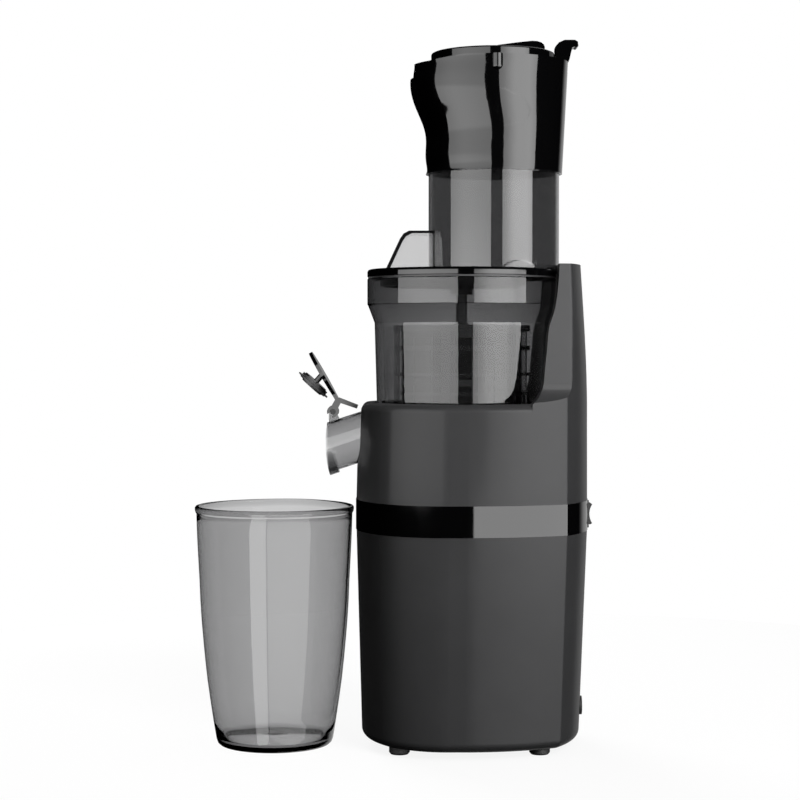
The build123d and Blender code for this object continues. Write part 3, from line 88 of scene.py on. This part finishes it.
# Lamps that only matt surfaces see.
lit_place = (0.0, 0.0, 0.2)      # where they point
key_panel = {"place": (0.75, -1.15, 0.95), "size": (0.8, 0.8), "level": 1.10}
top_panel = {"place": (0.0, 0.1, 1.5), "size": (1.0, 1.0), "level": 0.35}
back_panel = {"place": (-0.65, 1.25, 0.75), "size": (0.8, 0.8), "level": 0.90}
world_fill = 0.06
backdrop_turn = (2.0, 40.0)      # degrees from +Y towards +X between which gloss sees the backdrop
backdrop_fade = (5.0, 8.0)       # half the degrees over which each of its sides fades
backdrop_gloss = 0.6
floor_radius = 0.62
floor_grey = 0.10
floor_glow = 0.885               # with the lamps' light on it the disc is then as white as the world

# ---- plastics -------------------------------------------------------------------------
noise_range = (0.3, 0.7)         # most of a noise texture's values lie in here
clear_white = (0.98, 0.98, 0.98, 1.0)
smoke_grey = 0.5
chute_bore = {"axis_x": 0.0205, "radius": 0.04175, "tint": 0.26}

# ---- jug ------------------------------------------------------------------------------
jug_wall = 0.0020
jug_lip_out = 0.0035             # how far the pouring lip leans out
jug_lip_rise = 0.030             # height over which it does
jug_lip_angle = 78.0             # degrees from +X towards +Y
jug_lip_spread = 24.0
jug_segments = 128
merge_distance = 5e-5
jug_foot = [(0.0, 0.0012), (0.010, 0.0009), (0.0315, 0.0008), (0.0335, 0.0), (0.0352, 0.0), (0.0366, 0.0012),
            (0.0374, 0.0034), (0.0392, 0.0140)]
jug_side = [(0.0413, 0.0280), (0.0431, 0.0410), (0.0445, 0.0540), (0.0457, 0.0670), (0.0467, 0.0790),
            (0.0475, 0.0920), (0.0480, 0.1050), (0.0487, 0.1180), (0.0493, 0.1300), (0.0497, 0.1400)]
jug_shoulder = 0.0499
jug_floor = [(0.0358 - jug_wall, 0.0040), (0.0330 - jug_wall, 0.0032), (0.0100, 0.0030), (0.0022, 0.0030),
             (0.0016, 0.0025), (0.0, 0.0025)]


# ======================================================================= mesh helpers
def add_object(name, mesh):
    obj = bpy.data.objects.new(name, mesh)
    scene.collection.objects.link(obj)
    return obj


def shade(obj, smooth_angle):
    """Smooth shading with edges sharper than the angle marked sharp."""
    obj.data.set_sharp_from_angle(angle=math.radians(smooth_angle))
    for face in obj.data.polygons:
        face.use_smooth = True


def rings_mesh(name, rings, smooth_angle):
    """Skin over a list of equally long closed rings of points, with what lies together merged."""
    count = len(rings[0])
    verts = [point for ring in rings for point in ring]
    faces = []
    for low in range(0, len(verts) - count, count):
        high = low + count
        for j in range(count):
            k = (j + 1) % count
            faces.append((low + j, low + k, high + k, high + j))
    mesh = bpy.data.meshes.new(name)
    mesh.from_pydata(verts, [], faces)
    mesh.validate()
    work = bmesh.new()
    work.from_mesh(mesh)
    bmesh.ops.remove_doubles(work, verts=work.verts, dist=merge_distance)
    bmesh.ops.recalc_face_normals(work, faces=work.faces)
    work.to_mesh(mesh)
    work.free()
    obj = add_object(name, mesh)
    shade(obj, smooth_angle)
    return obj


# ======================================================================= node helpers
class Graph:
    """Short way to write a material's node graph."""

    def __init__(self, name):
        self.material = bpy.data.materials.new(name)
        self.material.use_nodes = True
        self.tree = self.material.node_tree
        self.tree.nodes.clear()
        self.out = self.add("ShaderNodeOutputMaterial")
        self.shader = self.add("ShaderNodeBsdfPrincipled")
        self.link(self.shader, "BSDF", self.out, "Surface")

    def add(self, kind, **values):
        """New node; each value is an attribute of it or else the default of one of its inputs."""
        node = self.tree.nodes.new(kind)
        for key, value in values.items():
            if hasattr(node, key):
                setattr(node, key, value)
            else:
                node.inputs[key.replace("_", " ")].default_value = value
        return node

    def link(self, a, out, b, into):
        self.tree.links.new(a.outputs[out], b.inputs[into])

    def set(self, **values):
        """Set the main shader's inputs."""
        for key, value in values.items():
            self.shader.inputs[key.replace("_", " ")].default_value = value

    def coords(self, scale):
        """Places in the object's own frame, scaled along its axes."""
        place = self.add("ShaderNodeTexCoord")
        mapping = self.add("ShaderNodeMapping")
        mapping.inputs["Scale"].default_value = scale
        self.link(place, "Object", mapping, "Vector")
        return mapping

    def noise(self, scale, detail=2.0, rough=0.5, stretch=(1.0, 1.0, 1.0)):
        node = self.add("ShaderNodeTexNoise", Scale=scale, Detail=detail, Roughness=rough)
        self.link(self.coords(stretch), "Vector", node, "Vector")
        return node

    def spread(self, source, out, low, high):
        """Map a noise output to low..high."""
        node = self.add("ShaderNodeMapRange", From_Min=noise_range[0], From_Max=noise_range[1],
                        To_Min=low, To_Max=high)
        self.link(source, out, node, "Value")
        return node

    def tint(self, source, out, colour, share):
        """Colour that varies by a share round its mean, driven by a noise output."""
        ramp = self.add("ShaderNodeValToRGB")
        for element, position, sign in zip(ramp.color_ramp.elements, noise_range, (-1, 1)):
            element.position = position
            element.color = [c * (1 + sign * share) for c in colour] + [1.0]
        self.link(source, out, ramp, "Fac")
        self.link(ramp, "Color", self.shader, "Base Color")

    def bump(self, source, out, height, strength=1.0):
        node = self.add("ShaderNodeBump", Strength=strength, Distance=height)
        self.link(source, out, node, "Height")
        self.link(node, "Normal", self.shader, "Normal")


def grained_plastic(name, colour, rough, grain_per_m=2600.0, height=0.00002, share=0.06,
                    specular=0.5, coat=0.0, coat_rough=0.2):
    """Moulded plastic with a fine spark-eroded grain and faint blotches."""
    g = Graph(name)
    blotch = g.noise(38.0, 3.0)
    g.tint(blotch, "Fac", colour, share)
    grain = g.noise(grain_per_m, 4.0, 0.65)
    g.link(g.spread(grain, "Fac", rough - 0.04, rough + 0.05), "Result", g.shader, "Roughness")
    g.bump(grain, "Fac", height, 0.5)
    g.set(IOR=1.5, Specular_IOR_Level=specular, Coat_Weight=coat, Coat_Roughness=coat_rough)
    return g.material


def polished_plastic(name, colour, rough=0.05, share=0.15):
    """Gloss-moulded plastic: nearly mirror smooth, with wipe marks that only dull it a little."""
    g = Graph(name)
    flow = g.noise(9.0, 2.0)
    g.tint(flow, "Fac", colour, share)
    wipe = g.noise(120.0, 4.0, 0.6, (1.0, 1.0, 0.15))
    g.link(g.spread(wipe, "Fac", rough * 0.7, rough * 1.5), "Result", g.shader, "Roughness")
    wave = g.noise(22.0, 1.0)
    g.bump(wave, "Fac", 0.00004, 0.25)
    g.set(IOR=1.5)
    return g.material


def clear_plastic(name, per_m, rough=0.02, ior=1.5, tube=None):
    """Smoked clear plastic, darker where it is thicker, with the faint waves of moulding.

    With a tube (its upright axis, radius and tint), the plastic within that radius is tinted as well.
    """
    g = Graph(name)
    g.set(Base_Color=clear_white, Transmission_Weight=1.0, IOR=ior)
    if tube:
        flat = g.coords((1.0, 1.0, 0.0))
        flat.inputs["Location"].default_value = (-tube["axis_x"], 0.0, 0.0)
        reach = g.add("ShaderNodeVectorMath", operation="LENGTH")
        g.link(flat, "Vector", reach, 0)
        edge = 0.5
        share = g.add("ShaderNodeMath", operation="MULTIPLY")
        share.inputs[1].default_value = edge / tube["radius"]
        g.link(reach, "Value", share, 0)
        ramp = g.add("ShaderNodeValToRGB")
        ramp.color_ramp.interpolation = "CONSTANT"
        within, outside = ramp.color_ramp.elements
        within.color = (tube["tint"], tube["tint"], tube["tint"] * 1.01, 1.0)
        outside.position = edge
        outside.color = clear_white
        g.link(share, 0, ramp, "Fac")
        g.link(ramp, "Color", g.shader, "Base Color")
    smoke = g.add("ShaderNodeVolumeAbsorption", Color=(smoke_grey, smoke_grey, smoke_grey * 1.01, 1.0),
                  Density=per_m / smoke_grey)
    g.link(smoke, "Volume", g.out, "Volume")
    wipe = g.noise(90.0, 3.0, 0.6, (1.0, 1.0, 0.2))
    g.link(g.spread(wipe, "Fac", rough * 0.5, rough * 1.6), "Result", g.shader, "Roughness")
    wave = g.noise(16.0, 1.0, 0.4, (1.0, 1.0, 0.35))
    g.bump(wave, "Fac", 0.00006, 0.3)
    return g.material


def soft_rubber(name, colour, rough=0.6):
    """Rubber or silicone, slightly dusty."""
    g = Graph(name)
    dust = g.noise(260.0, 5.0, 0.6)
    g.tint(dust, "Fac", colour, 0.12)
    g.link(g.spread(dust, "Fac", rough - 0.07, rough + 0.07), "Result", g.shader, "Roughness")
    fine = g.noise(1800.0, 3.0)
    g.bump(fine, "Fac", 0.00003, 0.5)
    g.set(Sheen_Weight=0.12, Sheen_Roughness=0.5)
    return g.material


def turned_metal(name, colour, rough=0.28, stretch=(1.0, 1.0, 40.0)):
    """Machined metal with fine tool marks."""
    g = Graph(name)
    marks = g.noise(140.0, 3.0, 0.6, stretch)
    g.tint(marks, "Fac", colour, 0.1)
    g.link(g.spread(marks, "Fac", rough - 0.08, rough + 0.1), "Result", g.shader, "Roughness")
    g.bump(marks, "Fac", 0.00002, 0.4)
    g.set(Metallic=1.0)
    return g.material


def make_materials():
    """The materials by their short names."""
    return {
        "housing": grained_plastic("housing_grain", (0.032, 0.032, 0.033), 0.52, specular=0.13,
                                   coat=0.18, coat_rough=0.16),
        "gloss": polished_plastic("gloss_black", (0.002, 0.002, 0.0022)),
        "band": polished_plastic("band_black", (0.002, 0.002, 0.0022), 0.04),
        "smoke": clear_plastic("smoke_clear", 430.0),
        "pale_smoke": clear_plastic("brush_clear", 160.0, 0.08),
        "chute": clear_plastic("chute_clear", 136.0, ior=1.6, tube=chute_bore),
        "jug": clear_plastic("jug_clear", 236.0, 0.015),
        "inner": grained_plastic("inner_black", (0.006, 0.006, 0.0062), 0.38, 1800.0),
        # Steel mesh painted near black: painted shade standing for the shade it lies in inside the bowl.
        "mesh": turned_metal("mesh_painted_shade", (0.012, 0.012, 0.0122), 0.4),
        "auger": grained_plastic("auger_grey", (0.035, 0.035, 0.036), 0.33, 1500.0),
        "silicone": soft_rubber("silicone_grey", (0.20, 0.20, 0.205), 0.5),
        "silicone_dark": soft_rubber("silicone_dark", (0.018, 0.018, 0.019), 0.42),
        "rubber": soft_rubber("rubber_black", (0.012, 0.012, 0.012), 0.62),
        "steel": turned_metal("turned_steel", (0.60, 0.60, 0.61)),
        "zinc": turned_metal("zinc_plate", (0.52, 0.52, 0.50), 0.36),
        "nylon": grained_plastic("gear_nylon", (0.68, 0.66, 0.60), 0.4, 900.0),
        "gearbox": grained_plastic("gearbox_grey", (0.11, 0.11, 0.115), 0.5, 1200.0),
        "iron": turned_metal("laminated_iron", (0.20, 0.20, 0.205), 0.45, (1.0, 1.0, 90.0)),
        "ferrite": grained_plastic("ferrite_grey", (0.06, 0.06, 0.062), 0.55, 700.0),
        "copper": turned_metal("commutator_copper", (0.72, 0.36, 0.20), 0.25),
        "carbon": grained_plastic("brush_carbon", (0.02, 0.02, 0.02), 0.5, 900.0),
        "board": grained_plastic("board_green", (0.02, 0.13, 0.05), 0.35, 500.0),
    }


slot_material = {
    "housing_grey": "housing", "band_black": "band", "gloss_black": "gloss", "smoke_clear": "smoke",
    "jug_clear": "jug", "inner_black": "inner", "rocker_black": "inner", "auger_grey": "auger",
    "silicone_grey": "silicone", "silicone_black": "silicone_dark", "rubber_black": "rubber",
    "steel": "steel", "zinc_steel": "zinc", "gear_nylon": "nylon", "gearbox_grey": "gearbox",
    "laminated_iron": "iron", "ferrite": "ferrite", "copper": "copper", "carbon": "carbon",
    "board_green": "board",
}
# Nodes that look otherwise than their slot. The strainer mesh's steel is painted near black: painted shade
# for the shade inside the bowl.
own_material = {
    "feed_chute": "chute", "strainer_mesh": "mesh", "lid_gasket": "silicone_dark", "cap_pin": "inner",
    "brush_frame": "pale_smoke", "brush_wipers": "pale_smoke",
}
# Clear nodes, which cast no shadow.
clear_nodes = ["juice_bowl", "feed_chute", "juice_jug", "brush_frame", "brush_wipers"]


def dress_nodes(materials):
    """Give every CAD node its procedural material, and keep the clear nodes from casting shadows."""
    for part in frame["record"]["subparts"]:
        obj = nodes[part["node"]]
        name = slot_material[part["material_slot"]]
        name = own_material.get(part["node"], name)
        obj.data.materials.clear()
        obj.data.materials.append(materials[name])
    for name in clear_nodes:
        nodes[name].visible_shadow = False


# ======================================================================= studio
def world_light():
    """White to the camera and through clear parts; gloss sees a backdrop behind the object only."""
    world = bpy.data.worlds.new("studio_world")
    scene.world = world
    world.use_nodes = True
    tree = world.node_tree
    tree.nodes.clear()

    def add(kind):
        return tree.nodes.new(kind)

    def math_node(operation, a, b):
        node = add("ShaderNodeMath")
        node.operation = operation
        for index, value in enumerate((a, b)):
            if isinstance(value, (int, float)):
                node.inputs[index].default_value = value
            else:
                tree.links.new(value, node.inputs[index])
        return node.outputs[0]

    place = add("ShaderNodeTexCoord")
    split = add("ShaderNodeSeparateXYZ")
    tree.links.new(place.outputs["Generated"], split.inputs[0])
    turn = math_node("ARCTAN2", split.outputs["X"], split.outputs["Y"])

    def ramp(start_degrees, end_degrees):
        """Rise smoothly from 0 to 1 between two turns."""
        node = add("ShaderNodeMapRange")
        node.interpolation_type = "SMOOTHSTEP"
        node.inputs["From Min"].default_value = math.radians(start_degrees)
        node.inputs["From Max"].default_value = math.radians(end_degrees)
        tree.links.new(turn, node.inputs["Value"])
        return node.outputs["Result"]

    start, end = backdrop_turn
    start_fade, end_fade = backdrop_fade
    window = math_node("MULTIPLY", ramp(start - start_fade, start + start_fade),
                       ramp(end + end_fade, end - end_fade))
    rays = add("ShaderNodeLightPath").outputs
    open_view = math_node("MAXIMUM", rays["Is Camera Ray"], rays["Is Transmission Ray"])
    gloss = math_node("MULTIPLY", rays["Is Glossy Ray"], math_node("MULTIPLY", window, backdrop_gloss))
    white = math_node("MAXIMUM", open_view, gloss)
    dull = math_node("MULTIPLY", math_node("SUBTRACT", 1.0, rays["Is Glossy Ray"]), world_fill)
    strength = math_node("MAXIMUM", white, dull)
    background = add("ShaderNodeBackground")
    background.inputs["Color"].default_value = (1.0, 1.0, 1.0, 1.0)
    tree.links.new(strength, background.inputs["Strength"])
    out = add("ShaderNodeOutputWorld")
    tree.links.new(background.outputs[0], out.inputs["Surface"])


def area_light(name, place, target, size, radiance):
    """Rectangle of light at a place, turned to its target and hidden from the camera."""
    light = bpy.data.lights.new(name, "AREA")
    light.shape = "RECTANGLE"
    light.size, light.size_y = size
    light.energy = radiance * math.pi * size[0] * size[1]
    obj = add_object(name, light)
    obj.location = place
    obj.rotation_mode = "QUATERNION"
    obj.rotation_quaternion = (Vector(target) - Vector(place)).to_track_quat("-Z", "Y")
    obj.visible_camera = False
    obj.visible_transmission = False
    return obj


def grade(light, across, upward):
    """Grade a lamp's glow over its face, from left to right and from foot to top."""
    light.use_nodes = True
    tree = light.node_tree
    face = tree.nodes.new("ShaderNodeNewGeometry")
    split = tree.nodes.new("ShaderNodeSeparateXYZ")
    tree.links.new(face.outputs["Parametric"], split.inputs[0])
    product = tree.nodes.new("ShaderNodeMath")
    product.operation = "MULTIPLY"
    for index, (axis, stops) in enumerate((("X", across), ("Y", upward))):
        ramp = tree.nodes.new("ShaderNodeValToRGB")
        ramp.color_ramp.interpolation = "EASE"
        for extra in stops[2:]:
            ramp.color_ramp.elements.new(extra[0])
        for element, (position, level) in zip(ramp.color_ramp.elements, stops):
            element.position = position
            element.color = (level, level, level, 1.0)
        tree.links.new(split.outputs[axis], ramp.inputs["Fac"])
        tree.links.new(ramp.outputs["Color"], product.inputs[index])
    tree.links.new(product.outputs[0], tree.nodes["Emission"].inputs["Strength"])


def gloss_panel(name, span, away, low, high, radiance, across, upward, about=(0.0, 0.0)):
    """Upright panel that only gloss sees, spanning the given degrees round a place."""
    turn = math.radians(sum(span) / 2)
    width = 2 * away * math.tan(math.radians(span[1] - span[0]) / 2)
    middle = (low + high) / 2
    place = (about[0] + away * math.sin(turn), about[1] - away * math.cos(turn), middle)
    panel = area_light(name, place, (about[0], about[1], middle), (width, high - low), radiance)
    grade(panel.data, across, upward)
    panel.visible_diffuse = False
    return panel


def light_jug_apart(jug, shared, own):
    """The shared gloss panels leave the jug out, and its own ones light nothing else."""
    alone = bpy.data.collections.new("jug_only")
    alone.objects.link(jug)
    others = bpy.data.collections.new("all_but_jug")
    others.objects.link(jug)
    for panel in own:
        panel.light_linking.receiver_collection = alone
    for panel in shared:
        panel.light_linking.receiver_collection = others
    for entry in others.collection_objects:
        entry.light_linking.link_state = "EXCLUDE"


def soft_light(name, place, size, level):
    """Lamp for matt surfaces: at the object's middle, white facing it renders at the level."""
    target = Vector(lit_place)
    distance = (target - Vector(place)).length
    radiance = level * math.pi * distance ** 2 / (size[0] * size[1])
    lamp = area_light(name, place, target, size, radiance)
    lamp.visible_glossy = False
    return lamp


def flat_mesh(name, corners):
    """Object of one flat face."""
    mesh = bpy.data.meshes.new(name)
    mesh.from_pydata(corners, [], [tuple(range(len(corners)))])
    return add_object(name, mesh)


def studio_floor():
    """Pale disc under the object that keeps a soft contact shadow."""
    count = 96
    turns = [2 * math.pi * k / count for k in range(count)]
    rim = [(floor_radius * math.cos(turn), floor_radius * math.sin(turn), 0.0) for turn in turns]
    floor = flat_mesh("studio_floor", rim)
    g = Graph("floor_white")
    g.set(Base_Color=(floor_grey, floor_grey, floor_grey, 1.0), Roughness=0.9, Specular_IOR_Level=0.0)
    glow = g.add("ShaderNodeEmission")
    rays = g.add("ShaderNodeLightPath")
    seen = g.add("ShaderNodeMath", operation="MAXIMUM")
    g.link(rays, "Is Camera Ray", seen, 0)
    g.link(rays, "Is Transmission Ray", seen, 1)
    level = g.add("ShaderNodeMath", operation="MULTIPLY")
    level.inputs[1].default_value = floor_glow
    g.link(seen, 0, level, 0)
    g.link(level, 0, glow, "Strength")
    both = g.add("ShaderNodeAddShader")
    g.link(g.shader, "BSDF", both, 0)
    g.link(glow, 0, both, 1)
    g.link(both, 0, g.out, "Surface")
    floor.data.materials.append(g.material)
    floor.visible_glossy = False


def black_flag(x, half, top):
    """Black card between jug and housing, there for gloss only, so that neither mirrors the other."""
    corners = [(x, -half, 0.0), (x, half, 0.0), (x, half, top), (x, -half, top)]
    flag = flat_mesh("black_flag", corners)
    g = Graph("flag_black")
    g.set(Base_Color=(0.0, 0.0, 0.0, 1.0), Roughness=1.0, Specular_IOR_Level=0.0)
    flag.data.materials.append(g.material)
    flag.visible_camera = False
    flag.visible_diffuse = False
    flag.visible_transmission = False
    flag.visible_shadow = False


def photo_camera():
    """Camera where the photograph was taken from, looking a little down."""
    data = bpy.data.cameras.new("photo_camera")
    camera = add_object("photo_camera", data)
    data.sensor_width = sensor_mm
    data.lens = focal_px / photo_px * sensor_mm
    data.clip_start, data.clip_end = 0.05, 20.0
    middle = photo_px / 2
    camera.location = ((middle - axis_px[0]) * metres_per_px, -focal_px * metres_per_px,
                       (axis_px[1] - horizon_px) * metres_per_px)
    pitch = math.atan((middle - horizon_px) / focal_px)
    camera.rotation_euler = (math.radians(90) - pitch, 0.0, 0.0)
    scene.camera = camera


# ======================================================================= pieces
def jug_middle():
    """The jug's upright axis, as x and y."""
    low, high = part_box("juice_jug")
    return (low.x + high.x) / 2, (low.y + high.y) / 2


def jug_piece(materials):
    """Smoked jug: rolled rim, pouring lip, rounded foot and the gate mark in its floor."""
    low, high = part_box("juice_jug")
    centre_x, centre_y = jug_middle()
    top = high.z
    rim = (high.x - low.x) / 2
    outer = jug_foot + jug_side + [
        (jug_shoulder, top - 0.0050), (rim - 0.0004, top - 0.0040), (rim, top - 0.0026), (rim, top - 0.0012),
        (rim - 0.0006, top - 0.0003), (rim - 0.0016, top), (rim - 0.0026, top - 0.0004),
        (rim - 0.0030, top - 0.0014)]
    inner = [(jug_shoulder - jug_wall, top - 0.0060)]
    inner += [(radius - jug_wall, z) for radius, z in reversed(jug_side)]
    inner += [(0.0392 - jug_wall, 0.0150), (0.0374 - jug_wall, 0.0058)] + jug_floor
    rings = []
    for radius, z in outer + inner:
        ring = []
        for k in range(jug_segments):
            angle = 2 * math.pi * k / jug_segments
            off = (math.degrees(angle) - jug_lip_angle + 180) % 360 - 180
            rise = max(0.0, (z - top + jug_lip_rise) / jug_lip_rise)
            lean = math.exp(-(off / jug_lip_spread) ** 2) * rise ** 2
            reach = max(radius, 1e-5) + jug_lip_out * lean
            ring.append((centre_x + reach * math.cos(angle), centre_y + reach * math.sin(angle), z))
        rings.append(ring)
    jug = rings_mesh("jug_body", rings, 50.0)
    jug.data.materials.append(materials["jug"])
    jug.visible_shadow = False
    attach(jug, "jug")
    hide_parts("juice_jug")
    return jug


def main():
    """Camera, studio, materials and the one piece made anew."""
    photo_camera()
    world_light()
    shared = [gloss_panel(name, **values) for name, values in panels.items()]
    soft_light("key_softbox", **key_panel)
    soft_light("top_softbox", **top_panel)
    soft_light("back_softbox", **back_panel)
    studio_floor()
    black_flag(**jug_flag)
    materials = make_materials()
    dress_nodes(materials)
    jug = jug_piece(materials)
    own = [gloss_panel(name, about=jug_middle(), **values) for name, values in jug_panels.items()]
    light_jug_apart(jug, shared, own)


main()
